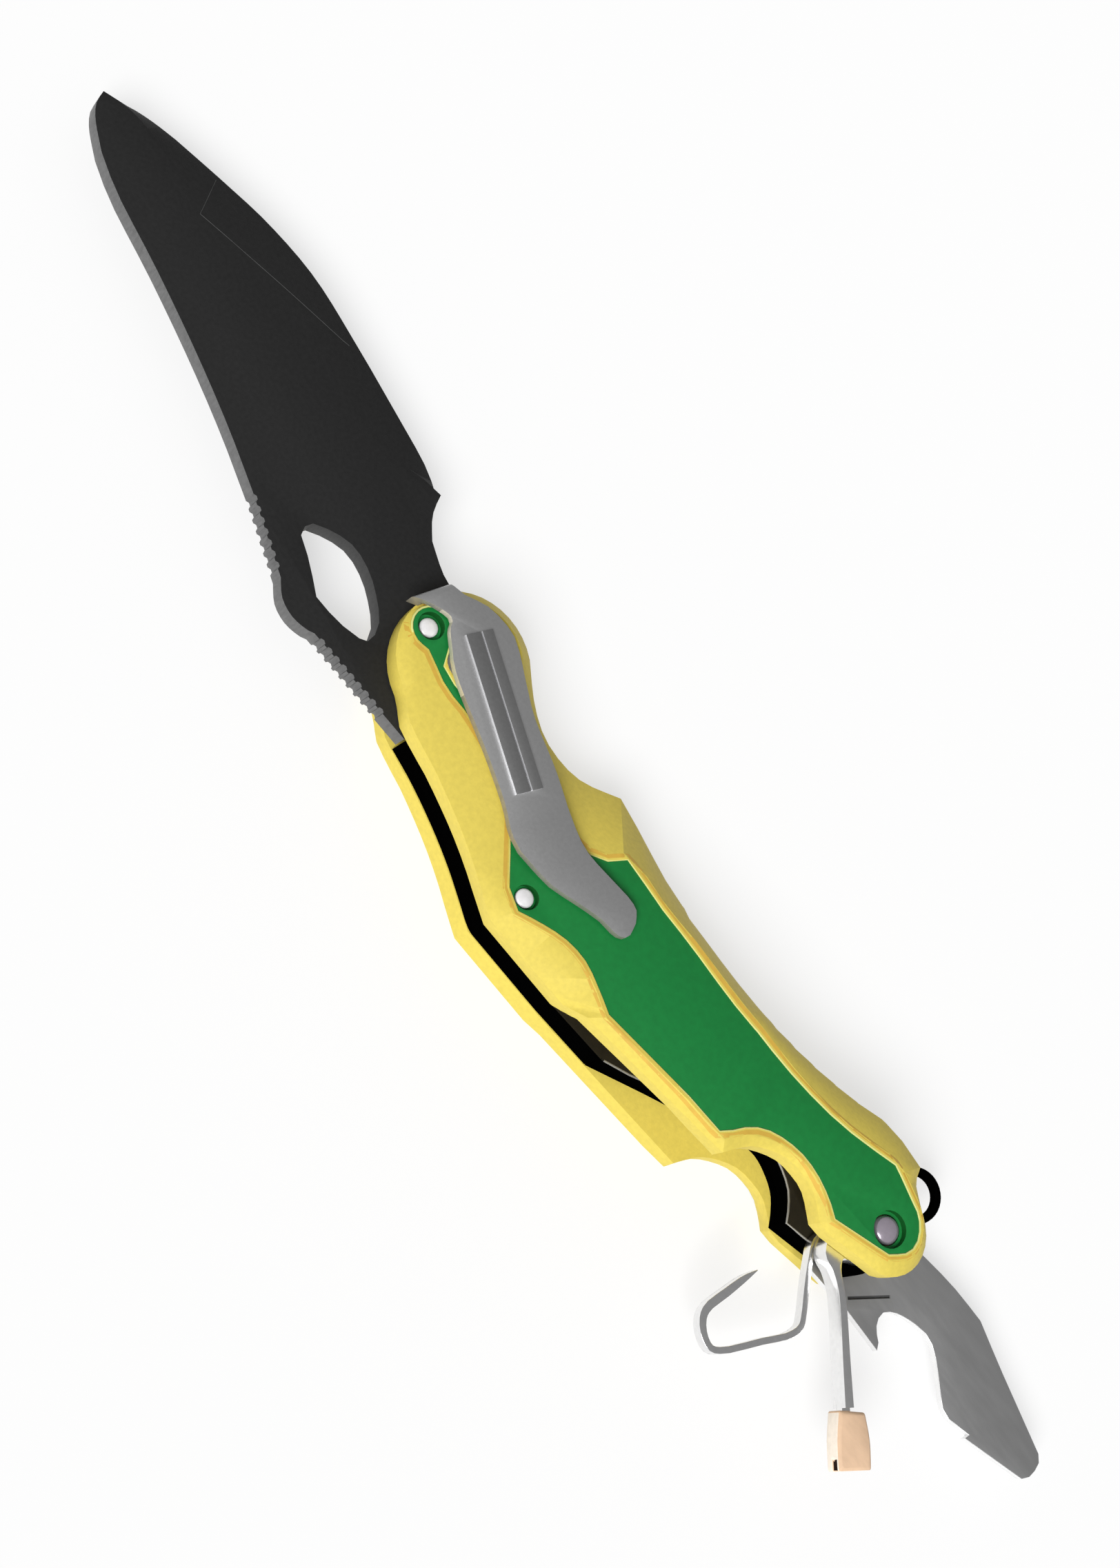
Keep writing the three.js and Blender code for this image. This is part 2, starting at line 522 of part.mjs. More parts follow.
function blade() {
  const outline = along(...BLADE_SPINE, ...BLADE_TANG, ...BLADE_EDGE);
  const edgeStart = outline.length - along(...BLADE_EDGE).length;
  const groundBack = (p, i) => {
    const share = THREE.MathUtils.mapLinear(p.x, EDGE_HEEL, EDGE_TIP, 0, 1);
    return i < edgeStart ? 0 : -GRIND * Math.min(1, 7 * share, 0.05 + 3.2 * (1 - share));
  };
  const flat = offset(outline, groundBack);
  const [bottom, top] = BLADE_LAYER;
  const middle = (bottom + top) / 2;
  const body = loft([lift(flat, bottom), lift(outline, middle - EDGE_HALF),
    lift(outline, middle + EDGE_HALF), lift(flat, top)]);
  return cut(body, plate(along(...THUMB_HOLE), [0, 12]),
    rod(PIVOT, PIVOT_RADIUS + RUNNING_GAP, [0, 12]),
    ...grooves([77, 9.75], [67.6, 13.35], 7),
    ...grooves([58.2, 14.5], [46, 13.7], 9));
}

// ---- clip --------------------------------------------------------------------------------------

const CLIP_OUTLINE = [
  [line([57, 4.6], [54.4, 2.75]), 1],
  [curve([54.4, 2.75], [53.2, 1.95], [51.2, 1.05], [50.2, 1.1], [49.5, 2.1], [48.1, 3.1],
    [46.4, 4.25]), 14],
  [curve([46.4, 4.3], [44.3, 5.35], [40.5, 6.6], [36.8, 7.7], [33.4, 8.8], [28.8, 10.5],
    [25.8, 12.1], [23.6, 12.9]), 16],
  [curve([23.2, 12.9], [18, 12.7], [14.8, 11.7], [11, 10.5], [8.9, 10.3]), 8],
  [curve([8.7, 10.3], [7.5, 9.9], [7.1, 8.9], [7.7, 7.3]), 5],
  [curve([7.7, 7.2], [8.9, 5.9], [10.5, 5.6]), 4],
  [curve([10.8, 5.6], [14.5, 5.8], [17.6, 5.9], [20.2, 5.3], [24.2, 3.6], [28.6, 1.9], [34.3, 0.2],
    [37.9, -1.5], [41.8, -3.6], [43.8, -4.4]), 20],
  [curve([44, -4.5], [46, -4.6], [48, -4.3], [49.8, -3.7], [51.3, -2.6], [53.9, -1.8], [56.6, -1.3]), 8],
];

// Side view in the clip's own direction: the bent tab over the head end, the flat, and the spring
// end, which rises with the handle's ramp and touches down on the inlay
function clipSide() {
  const over = CLIP_UNDER + CLIP_THICKNESS;
  const inside = TAB_REACH - CLIP_THICKNESS;
  return [[TAB_REACH, TAB_BOTTOM], [TAB_REACH, over - 0.5], [TAB_REACH - 0.15, over - 0.15],
    [TAB_REACH - 0.5, over], [-21, over], [-36, over + 2.1], [-44, over + 2.9], [-44, over + 1.9],
    [-36, over + 1.1], [-21, CLIP_UNDER], [inside - 0.1, CLIP_UNDER], [inside, CLIP_UNDER - 0.1],
    [inside, TAB_BOTTOM]];
}

const RIB_ANGLE = -22;
const RIB_ENDS = [-17.5, 3];
const RIB_HEIGHT = 0.45;
const RIBS = [[-1.85, 0.17], [-3.6, -2.12]];
function pocketClip() {
  const side = sideSlab(clipSide(), TAB_ANGLE).translate([PIVOT.x, PIVOT.y, 0]);
  const face = CLIP_UNDER + CLIP_THICKNESS;
  const ribs = RIBS.map((sides) =>
    solid(block(RIB_ENDS, sides, [face - 0.5, face + RIB_HEIGHT]).rotateZ(radians(RIB_ANGLE)))
      .translate([PIVOT.x, PIVOT.y, 0]));
  return join(plate(along(...CLIP_OUTLINE), [5, 20]).intersect(side), ...ribs);
}

// ---- pins and screws ---------------------------------------------------------------------------

// A low round head on a shank, head up or head down
function screw(centre, shank, head, [bottom, seat, top]) {
  const crown = top - (top - seat) * 0.35;
  return turned(centre, [[0, bottom], [shank, bottom], [shank, seat], [head, seat], [head, crown],
    [head * 0.75, top - 0.05], [0, top]]);
}

function pivotBarrel() {
  const body = join(rod(PIVOT, PIVOT_RADIUS, [FAR_POCKET + 0.05, 11]), rod(PIVOT, 2.75, [10.6, 11.6]));
  return cut(body, rod(PIVOT, 1.25, [0, 9]));
}

function pivotScrew() {
  const body = join(rod(PIVOT, 3.6, [0.2, FAR_POCKET - 0.05]), rod(PIVOT, 1.2, [1, 8.5]));
  return cut(body, rod(PIVOT, 1.3, [-1, 0.85], 1.3, 6));
}

// ---- tail tools --------------------------------------------------------------------------------

const LUG_RADIUS = 3.7;
const NICK_FLOOR = 4.5;
const NICK_MIDDLE = [-49.7, 6.65];
const NICK_REACH = 3.1;
const NICK_TURN = 52;

function opener() {
  const outline = along(
    [curve([-42, 10.95], [-39.7, 9.3], [-37.7, 7.6], [-36.9, 5.1], [-37.7, 2.2], [-39.4, 0.2],
      [-41.4, -0.8]), 18],
    [curve([-41.6, -0.9], [-45.5, -2.3], [-51.3, -3.4], [-57, -4.2], [-62.7, -4.4]), 8],
    [curve([-62.7, -4.4], [-69.9, -2.3], [-80.2, 0.4]), 5],
    [curve([-80.5, 0.5], [-81.3, 1.1], [-81.7, 3.2], [-81.1, 4.7]), 4],
    [line([-81, 4.7], [-71.67, 7.78]), 1],
    [line([-71.67, 7.78], [-71.8, 6.98]), 1],
    [line([-71.8, 6.98], [-68.5, 7.95]), 1],
    [curve([-68.4, 7.95], [-66.9, 7.8], [-62.4, 4.7], [-59.9, 3.4], [-56.9, 3.2]), 8],
    [curve([-56.7, 3.6], [-55, 4.2], [-53.3, 5.2], [-52.4, 6.6], [-53.2, 8.4], [-55.6, 9.9]), 10],
    [line([-55.3, 10.3], [-48.5, 10.3]), 1],
    [line([-48.5, 10.3], [-42, 10.95]), 4]).reverse();
  const nick = solid(block([-NICK_REACH, NICK_REACH], [-0.14, 0.14], [NICK_FLOOR, 9])
    .rotateZ(radians(NICK_TURN))).translate([...NICK_MIDDLE, 0]);
  return cut(plate(outline, OPENER_LAYER), nick, rod(TAIL_PIN, TAIL_PIN_RADIUS + RUNNING_GAP, [0, 9]));
}

// From the pin out to the shoulder, over the top and down to the point
const HOOK_ARM = [[-40.6, 6.6, 3.4], [-38.5, 8.6, 1.6], [-38, 10.6, 0.9], [-39.4, 13, 0.75],
  [-41.4, 15.6, 0.75], [-43.4, 18, 0.75], [-44.2, 19.3, 0.8], [-44, 21.1, 0.85], [-42, 24.7, 0.85],
  [-39.2, 29.7, 0.85], [-38, 30.7, 0.85], [-36.3, 30.4, 0.9], [-34.7, 29.2, 1], [-34.15, 27.9, 1.1],
  [-34.5, 24.6, 1.1], [-34.9, 21.4, 0.8], [-35.3, 19.4, 0.12]];
function hook() {
  const arm = strip(HOOK_ARM, 40);
  return cut(join(plate(arm, HOOK_LAYER), rod(TAIL_PIN, LUG_RADIUS, HOOK_LAYER)),
    rod(TAIL_PIN, TAIL_PIN_RADIUS + RUNNING_GAP, [0, 20]));
}

const RUBBER_ARM = [[-41.2, 6.4, 5.6], [-39.8, 9.2, 4.6], [-39.9, 11.2, 3], [-41.4, 12.3, 1.2],
  [-43.4, 13.4, 0.85], [-45.4, 14.8, 0.9], [-50, 18.6, 1.05], [-54.55, 22.3, 1.2]];
const TONGUE = [[-54, 21.9, 1.1], [-56.3, 23.8, 1.2], [-58.2, 25.4, 1.2]];
function rubberArm() {
  const lug = rod(TAIL_PIN, LUG_RADIUS, RUBBER_LAYER);
  return cut(join(plate(strip(RUBBER_ARM, 30), RUBBER_LAYER), plate(strip(TONGUE, 4), TONGUE_LAYER), lug),
    rod(TAIL_PIN, TAIL_PIN_RADIUS + RUNNING_GAP, [0, 20]));
}

// A wooden block glued over the arm's tongue, slightly barrel-shaped, with a saw kerf in its outer end
const RUBBER_HEAD_LAYER = [10.03, 13.2];
const KERF_LAYER = [11.6, 12.45];
const KERF_DEPTH = 1.5;
const HEAD_END = { x: -60.6, y: 26.8, turn: 140.7 };
function rubberHead() {
  const outline = along(
    [curve([-53.84, 23.58], [-56.3, 26.2], [-59.07, 28.53]), 6],
    [line([-59.07, 28.53], [-62.01, 24.94]), 1],
    [curve([-62.01, 24.94], [-59.35, 22.65], [-56.46, 20.93]), 6],
    [line([-56.46, 20.93], [-53.84, 23.58]), 1]);
  const room = offset(strip(TONGUE, 4), CUT_GAP);
  const kerf = solid(block([-KERF_DEPTH, 3], [-4, 4], KERF_LAYER).rotateZ(radians(HEAD_END.turn)))
    .translate([HEAD_END.x, HEAD_END.y, 0]);
  return cut(plate(outline, RUBBER_HEAD_LAYER, 0.45), kerf,
    plate(room, [TONGUE_LAYER[0] - RUNNING_GAP, TONGUE_LAYER[1] + RUNNING_GAP]));
}

// ---- assembly ----------------------------------------------------------------------------------

add('scale_far', scaleFar(), 'scale');
add('scale_near', scaleNear(), 'scale');
add('inlay_far', inlayFar(), 'inlay');
add('inlay_near', inlayNear(), 'inlay');
add('back_spacer', backSpacer(), 'black');
add('liner_far', linerFar(), 'steel');
add('detent_ball', turned(DETENT, [[0, 3.9], [0.5, 4], [0.76, 4.5], [0.5, 4.95], [0, 5.02]]),
  'bright');
add('stop_pin', rod(STOP_PIN, 0.76, [2.5, 9.1]), 'bright');

add('blade', blade(), 'blade');
add('pivot_barrel', pivotBarrel(), 'steel');
add('pivot_screw', pivotScrew(), 'steel');
const PIVOT_WASHERS = {
  washer_far: between(LINER_LAYER[1], BLADE_LAYER[0]),
  washer_near: between(BLADE_LAYER[1], NEAR_SCALE_BOTTOM),
};
for (const [name, layer] of Object.entries(PIVOT_WASHERS)) {
  add(name, washer(PIVOT, PIVOT_RADIUS + RUNNING_GAP, 5.6, layer), 'bronze');
}

add('pocket_clip', pocketClip(), 'steel');
add('clip_stud', turned(CLIP_STUD, [[0, 9.4], [0.98, 9.4], [0.98, 12.05], [0, 12.15]]), 'steel');
add('top_screw', screw(TOP_SCREW, 0.8, 1.25, [8.2, TOP_SCREW_SEAT + 0.05, 11.15]), 'bright');
add('mid_screw', screw(MID_SCREW, 0.86, 1.22, [0.7, MID_SCREW_SEAT + 0.05, 12.35]), 'bright');
add('mid_nut', washer(MID_SCREW, 0.9, 1.65, [0.2, 1.25]), 'bright');

add('tail_pin', turned(TAIL_PIN, [[0, 0.7], [TAIL_PIN_RADIUS, 0.7], [TAIL_PIN_RADIUS, 15.1], [1.85, 15.1],
  [1.85, 15.9], [1.6, 16.35], [1, 16.65], [0, 16.75]]), 'bright');
add('tail_nut', washer(TAIL_PIN, TAIL_PIN_RADIUS + 0.03, 3, [0.2, 1.3]), 'bright');
const TAIL_WASHERS = [
  between(FAR_SCALE_TOP, OPENER_LAYER[0]),
  between(SPACER_LAYER[1], HOOK_LAYER[0]),
  between(HOOK_LAYER[1], RUBBER_LAYER[0]),
  between(RUBBER_LAYER[1], BAY_TOP),
];
TAIL_WASHERS.forEach((layer, i) =>
  add(`tail_washer_${i + 1}`, washer(TAIL_PIN, TAIL_PIN_RADIUS + RUNNING_GAP, TAIL_WASHER_RADIUS, layer),
    'bronze'));

add('opener', opener(), 'steel');
add('hook', hook(), 'bright');
add('rubber_arm', rubberArm(), 'bright');
add('rubber_head', rubberHead(), 'wood');

export default object;
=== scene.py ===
import json
import math

import bmesh
import bpy
from mathutils import Matrix, Vector

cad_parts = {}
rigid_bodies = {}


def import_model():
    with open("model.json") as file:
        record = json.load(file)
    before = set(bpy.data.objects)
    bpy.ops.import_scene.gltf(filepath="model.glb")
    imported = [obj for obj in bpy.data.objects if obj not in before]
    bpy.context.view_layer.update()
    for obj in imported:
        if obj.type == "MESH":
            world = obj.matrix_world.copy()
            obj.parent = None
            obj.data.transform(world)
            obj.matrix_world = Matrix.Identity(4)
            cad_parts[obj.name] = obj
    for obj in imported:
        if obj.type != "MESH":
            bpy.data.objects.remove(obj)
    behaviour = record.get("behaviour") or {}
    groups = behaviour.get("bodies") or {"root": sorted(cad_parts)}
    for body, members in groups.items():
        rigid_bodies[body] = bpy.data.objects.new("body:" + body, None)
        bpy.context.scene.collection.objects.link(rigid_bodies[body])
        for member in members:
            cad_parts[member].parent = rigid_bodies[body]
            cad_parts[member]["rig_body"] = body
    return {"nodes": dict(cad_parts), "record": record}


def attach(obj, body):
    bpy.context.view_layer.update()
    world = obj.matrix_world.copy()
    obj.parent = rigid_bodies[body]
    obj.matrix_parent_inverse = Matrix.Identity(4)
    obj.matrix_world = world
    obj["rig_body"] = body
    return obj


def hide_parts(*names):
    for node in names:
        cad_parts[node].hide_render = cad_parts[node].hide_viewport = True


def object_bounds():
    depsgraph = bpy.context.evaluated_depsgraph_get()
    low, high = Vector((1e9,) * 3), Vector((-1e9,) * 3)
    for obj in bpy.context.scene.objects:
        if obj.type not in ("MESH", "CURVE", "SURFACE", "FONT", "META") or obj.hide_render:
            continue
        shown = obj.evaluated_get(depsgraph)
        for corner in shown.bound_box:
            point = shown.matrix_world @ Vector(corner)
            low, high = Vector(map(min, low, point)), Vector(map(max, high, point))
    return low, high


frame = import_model()
cad_box = [list(corner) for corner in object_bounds()]

MM = 0.001
WHITE = (1, 1, 1, 1)
DOWN = Vector((0, 0, -1))
ABOVE = 20  # a height over everything, from where rays look down


# ---- camera, floor and light -------------------------------------------------------------------

CAMERA_PLACE = (55.80, 165.85, 300.09)
CAMERA_RIGHT = (-0.59540, -0.67079, 0.44221)
CAMERA_UP = (0.79853, -0.55477, 0.23363)
CAMERA_BACK = (0.08860, 0.49222, 0.86595)
LENS = 62.37
SENSOR = 36
SIGHT = (0.01, 20)  # nearest and farthest that the camera sees, in metres

FILL = 0.27  # strength of the white surround
KEY = 2.95  # strength of the wide sun on the spine side
KEY_FROM = (-0.05, 0.68, 0.73)
KEY_SPREAD = 30  # degrees

FLOOR_HALF = 3000
FLOOR_DROP = 0.2  # how far the floor lies under the knife
FLOOR_TONE = 0.36
FLOOR_GLOW = 0.64
FLOOR_ROUGHNESS = 0.9


def place_camera():
    """The camera's place and axes are given in the object's frame."""
    axes = (Vector(CAMERA_RIGHT), Vector(CAMERA_UP), Vector(CAMERA_BACK))
    turn = Matrix(axes).transposed().to_4x4()
    data = bpy.data.cameras.new("view")
    data.sensor_width = SENSOR
    data.lens = LENS
    data.clip_start, data.clip_end = SIGHT
    camera = bpy.data.objects.new("view", data)
    camera.matrix_world = Matrix.Translation(Vector(CAMERA_PLACE) * MM) @ turn
    bpy.context.scene.collection.objects.link(camera)
    bpy.context.scene.camera = camera


def surround():
    """A surround that gives a faint light, and that the camera sees as plain white."""
    world = bpy.data.worlds.new("surround")
    world.use_nodes = True
    nodes = world.node_tree.nodes
    links = world.node_tree.links
    nodes.clear()
    out = nodes.new("ShaderNodeOutputWorld")
    mix = nodes.new("ShaderNodeMixShader")
    ray = nodes.new("ShaderNodeLightPath")
    fill = nodes.new("ShaderNodeBackground")
    seen = nodes.new("ShaderNodeBackground")
    fill.inputs["Strength"].default_value = FILL
    fill.inputs["Color"].default_value = WHITE
    seen.inputs["Color"].default_value = WHITE
    links.new(ray.outputs["Is Camera Ray"], mix.inputs[0])
    links.new(fill.outputs[0], mix.inputs[1])
    links.new(seen.outputs[0], mix.inputs[2])
    links.new(mix.outputs[0], out.inputs[0])
    bpy.context.scene.world = world


def key_sun():
    data = bpy.data.lights.new("key", "SUN")
    data.angle = math.radians(KEY_SPREAD)
    data.energy = KEY
    light = bpy.data.objects.new("key", data)
    light.rotation_euler = Vector(KEY_FROM).to_track_quat("Z", "Y").to_euler()
    bpy.context.scene.collection.objects.link(light)


def floor_material():
    """Pale paper: part of its light is its own, so that shadows on it stay faint."""
    material = bpy.data.materials.new("floor")
    material.use_nodes = True
    shader = material.node_tree.nodes["Principled BSDF"]
    shader.inputs["Base Color"].default_value = (FLOOR_TONE, FLOOR_TONE, FLOOR_TONE, 1)
    shader.inputs["Roughness"].default_value = FLOOR_ROUGHNESS
    shader.inputs["Specular IOR Level"].default_value = 0
    shader.inputs["Emission Color"].default_value = WHITE
    shader.inputs["Emission Strength"].default_value = FLOOR_GLOW
    return material


def lay_floor():
    mesh = bpy.data.meshes.new("floor")
    half = FLOOR_HALF * MM
    corners = [(-half, -half, 0), (half, -half, 0), (half, half, 0), (-half, half, 0)]
    mesh.from_pydata(corners, [], [(0, 1, 2, 3)])
    floor = bpy.data.objects.new("floor", mesh)
    floor.location.z = -FLOOR_DROP * MM
    bpy.context.scene.collection.objects.link(floor)
    floor.data.materials.append(floor_material())


def studio():
    bpy.context.scene.view_settings.view_transform = "Standard"
    surround()
    key_sun()
    lay_floor()


# ---- materials ---------------------------------------------------------------------------------

TONE_ENDS = (0.3, 0.7)  # the share of the noise where a mottled colour is darkest and lightest
ROUGH_SPREAD = 0.06  # how far the roughness wanders each way
ROUGH_SCALE = 2.3  # scale of that wandering, against the mottle's
MOTTLE_DETAIL = 4
GRAIN_DETAIL = 3


def linear(hex_colour):
    """A display colour such as 0xE5D060 as a linear triple."""
    parts = [(hex_colour >> shift & 255) / 255 for shift in (16, 8, 0)]
    return tuple(c / 12.92 if c <= 0.04045 else ((c + 0.055) / 1.055) ** 2.4 for c in parts)


def surface(name, colour, roughness, metallic=0.0, specular=0.5, mottle=(900, 0.06),
            grain=(6000, 0.25, 0.02), stretch=(1, 1, 1)):
    """Colour and roughness that wander, over a finer bump.

    mottle is a scale per metre and the share by which the colour changes; grain is a scale per
    metre, a strength and a depth in mm; stretch scales the pattern along each axis.
    """
    material = bpy.data.materials.new(name)
    material.use_nodes = True
    nodes = material.node_tree.nodes
    links = material.node_tree.links
    shader = nodes["Principled BSDF"]
    shader.inputs["Metallic"].default_value = metallic
    shader.inputs["Specular IOR Level"].default_value = specular
    place = nodes.new("ShaderNodeTexCoord")
    mapping = nodes.new("ShaderNodeMapping")
    mapping.inputs["Scale"].default_value = stretch
    links.new(place.outputs["Object"], mapping.inputs["Vector"])
    mottle_scale, mottle_share = mottle
    grain_scale, grain_strength, grain_depth = grain

    def noise(scale, detail):
        node = nodes.new("ShaderNodeTexNoise")
        node.inputs["Scale"].default_value = scale
        node.inputs["Detail"].default_value = detail
        links.new(mapping.outputs["Vector"], node.inputs["Vector"])
        return node.outputs["Fac"]

    tone = nodes.new("ShaderNodeValToRGB")
    base = linear(colour)
    shares = (1 - mottle_share, 1 + mottle_share)
    for end, position, share in zip(tone.color_ramp.elements, TONE_ENDS, shares):
        end.position = position
        end.color = (*[min(1, c * share) for c in base], 1)
    links.new(noise(mottle_scale, MOTTLE_DETAIL), tone.inputs["Fac"])
    links.new(tone.outputs["Color"], shader.inputs["Base Color"])

    spread = nodes.new("ShaderNodeMapRange")
    spread.inputs["To Min"].default_value = max(0, roughness - ROUGH_SPREAD)
    spread.inputs["To Max"].default_value = min(1, roughness + ROUGH_SPREAD)
    links.new(noise(mottle_scale * ROUGH_SCALE, GRAIN_DETAIL), spread.inputs["Value"])
    links.new(spread.outputs["Result"], shader.inputs["Roughness"])

    bump = nodes.new("ShaderNodeBump")
    bump.inputs["Strength"].default_value = grain_strength
    bump.inputs["Distance"].default_value = grain_depth * MM
    links.new(noise(grain_scale, GRAIN_DETAIL), bump.inputs["Height"])
    links.new(bump.outputs["Normal"], shader.inputs["Normal"])
    return material


def handle_materials():
    return {
        "scale": surface("scale_polymer", 0xE0CB5A, 0.62, specular=0.3, mottle=(1600, 0.05),
                         grain=(3200, 0.5, 0.03)),
        # painted shade: the darker orange band in the valley beside the inlay's bead
        "scale_shade_strip": surface("scale_shade_strip", 0xD8B048, 0.6, specular=0.3, mottle=(900, 0.05),
                               grain=(3200, 0.4, 0.02)),
        # painted highlight: the bead's pale yellow-green stands for light caught on the rim's inner
        # edge
        "bead": surface("scale_bead_highlight", 0xDCDD88, 0.5, specular=0.4, mottle=(900, 0.04),
                        grain=(3200, 0.2, 0.01)),
        "inlay": surface("inlay_polymer", 0x157D39, 0.5, specular=0.3, mottle=(1200, 0.06),
                         grain=(5200, 0.3, 0.015)),
        # painted shade: a darker green on the inlay's edges, for the shade in the gap round it
        "inlay_edge_shade": surface("inlay_edge_shade", 0x0F5420, 0.55, specular=0.2, mottle=(1200, 0.06),
                              grain=(5200, 0.3, 0.015)),
        "spacer": surface("spacer_black", 0x020202, 0.8, specular=0, mottle=(1500, 0.2),
                          grain=(5000, 0.3, 0.02)),
        # painted reflection: the black spacer's top in the tool bay tinted brown by the yellow scales'
        # light
        "spacer_top_reflection": surface("spacer_top_reflection", 0x1E1A10, 0.7, specular=0.2, mottle=(900, 0.15)),
        # painted highlight: the grey line along the spacer's upper edge
        "spacer_edge_highlight": surface("spacer_edge_highlight", 0x8C8A84, 0.5, metallic=0.5, mottle=(900, 0.1)),
    }


def blade_materials():
    return {
        "blade": surface("blade_coating", 0x282828, 0.6, specular=0.12, mottle=(1800, 0.1),
                         grain=(7000, 0.4, 0.012)),
        # painted sheen: the blade's walls lighter than its coated sides
        "blade_wall_sheen": surface("blade_wall_sheen", 0x626262, 0.5, specular=0.3, mottle=(2600, 0.16),
                              grain=(6000, 0.4, 0.012), stretch=(1, 1, 0.25)),
        # painted shade: darker walls inside the thumb hole
        "hole_wall_shade": surface("hole_wall_shade", 0x3C3C3C, 0.5, specular=0.25, mottle=(2600, 0.14),
                             grain=(6000, 0.4, 0.012), stretch=(1, 1, 0.25)),
        # partly painted highlight: the grind's edge as a line lighter than the coating
        "grind_highlight_line": surface("grind_highlight_line", 0x444444, 0.5, specular=0.2, mottle=(700, 0.25)),
    }


def clip_materials():
    return {
        "clip": surface("clip_steel", 0xCDCDCD, 0.45, metallic=0.95, mottle=(2200, 0.04),
                        grain=(8000, 0.3, 0.01)),
        "clip_rib": surface("clip_rib", 0x9C9C9C, 0.5, metallic=0.95, mottle=(2200, 0.05),
                            grain=(8000, 0.3, 0.01)),
        # painted light: the neck's walls beside the top screw, pale beige where the light falls on them
        "clip_neck_painted_light": surface("clip_neck_painted_light", 0xDAD2C0, 0.45, metallic=0.3, mottle=(1200, 0.06),
                             grain=(5000, 0.2, 0.01)),
        # painted light: a duller, warmer grey on the walls turned to the spine side, for how the light
        # falls there
        "clip_wall_painted_light": surface("clip_wall_painted_light", 0x9C988E, 0.45, metallic=0.3, mottle=(1200, 0.1),
                             grain=(5000, 0.2, 0.01)),
        # painted highlight: bright walls on the ribs
        "rib_wall_highlight": surface("rib_wall_highlight", 0xD8D8DA, 0.4, metallic=0.4, mottle=(1200, 0.06),
                            grain=(5000, 0.2, 0.01)),
    }


def steel_materials():
    return {
        "steel": surface("opener_steel", 0xCCCCCC, 0.42, metallic=1, mottle=(700, 0.05),
                         grain=(4000, 0.3, 0.01), stretch=(0.2, 1, 1)),
        # painted reflection: the opener's walls near white, for the white floor they mirror
        "steel_wall_reflection": surface("opener_wall_reflection", 0xF2F2F2, 0.3, metallic=0.6, mottle=(900, 0.03),
                              grain=(4000, 0.2, 0.008)),
        # painted shade: a darker grey in the nail nick
        "nick": surface("nick_shade", 0x565656, 0.6, metallic=0.3, mottle=(900, 0.1)),
        "bright": surface("bright_steel", 0xEDEDED, 0.22, metallic=1, mottle=(1500, 0.03),
                          grain=(5000, 0.15, 0.008)),
        # painted reflection: the flat screw heads near white and mostly diffuse, for the white surround
        # they mirror
        "screw": surface("screw_painted_reflection", 0xF6F4F5, 0.3, metallic=0.1, mottle=(1500, 0.05),
                         grain=(3000, 0.3, 0.015)),
        "pin": surface("pin_steel", 0xBCB2BE, 0.2, metallic=0.6, mottle=(1500, 0.04),
                       grain=(3000, 0.1, 0.008)),
        "bronze": surface("washer_bronze", 0xB38A5E, 0.35, metallic=1, mottle=(1500, 0.08)),
    }


def wood_materials():
    return {
        "wood": surface("rubber_wood", 0xE6C3A2, 0.62, specular=0.3, mottle=(420, 0.06),
                        grain=(1500, 0.3, 0.03), stretch=(1, 2, 2)),
        # painted highlight: the head's side turned to the light, paler than the wood
        "wood_side_highlight": surface("wood_side_highlight", 0xF8ECDC, 0.55, specular=0.3, mottle=(420, 0.06),
                             grain=(1500, 0.3, 0.04), stretch=(1, 4, 4)),
        # painted shade: inside the saw kerf
        "kerf": surface("kerf_shade", 0x2A1C16, 0.8, specular=0.1, mottle=(900, 0.2)),
    }


def make_materials():
    return {**handle_materials(), **blade_materials(), **clip_materials(), **steel_materials(),
            **wood_materials()}


# ---- fine meshes over the frame ----------------------------------------------------------------

WELD = 0.002  # points nearer than this are one point
FLAT_ANGLE = 0.5  # degrees; faces that meet flatter than this are one face
BEVEL_SEGMENTS = 3
BEVEL_FROM = 30  # degrees; edges sharper than this are rounded
SMOOTH_TO = 40  # degrees; edges sharper than this stay sharp in the shading

EDGE_RADIUS = {
    "scale_near": 0.35, "scale_far": 0.35, "inlay_near": 0.22, "inlay_far": 0.22, "back_spacer": 0.12,
    "blade": 0.06, "pocket_clip": 0.1, "opener": 0.08, "hook": 0.08, "rubber_arm": 0.1,
    "rubber_head": 0.25, "top_screw": 0.08, "mid_screw": 0.08, "tail_pin": 0.08, "stop_pin": 0.06,
    "clip_stud": 0.06, "pivot_screw": 0.08, "pivot_barrel": 0.06, "liner_far": 0.06, "mid_nut": 0.08,
    "tail_nut": 0.08,
}
LOOKS = {"top_screw": "screw", "mid_screw": "screw", "tail_pin": "pin"}  # where not the slot's own
SCALE_ROOM = 0.02  # what the near scale leaves to the frame's top, for the band that lies on it


def join_back(mesh):
    """Welds the frame mesh and drops the flat edges, so that bevels follow real edges only."""
    form = bmesh.new()
    form.from_mesh(mesh)
    bmesh.ops.remove_doubles(form, verts=form.verts, dist=WELD * MM)
    bmesh.ops.dissolve_limit(form, angle_limit=math.radians(FLAT_ANGLE), verts=form.verts,
                             edges=form.edges)
    form.normal_update()
    form.to_mesh(mesh)
    form.free()


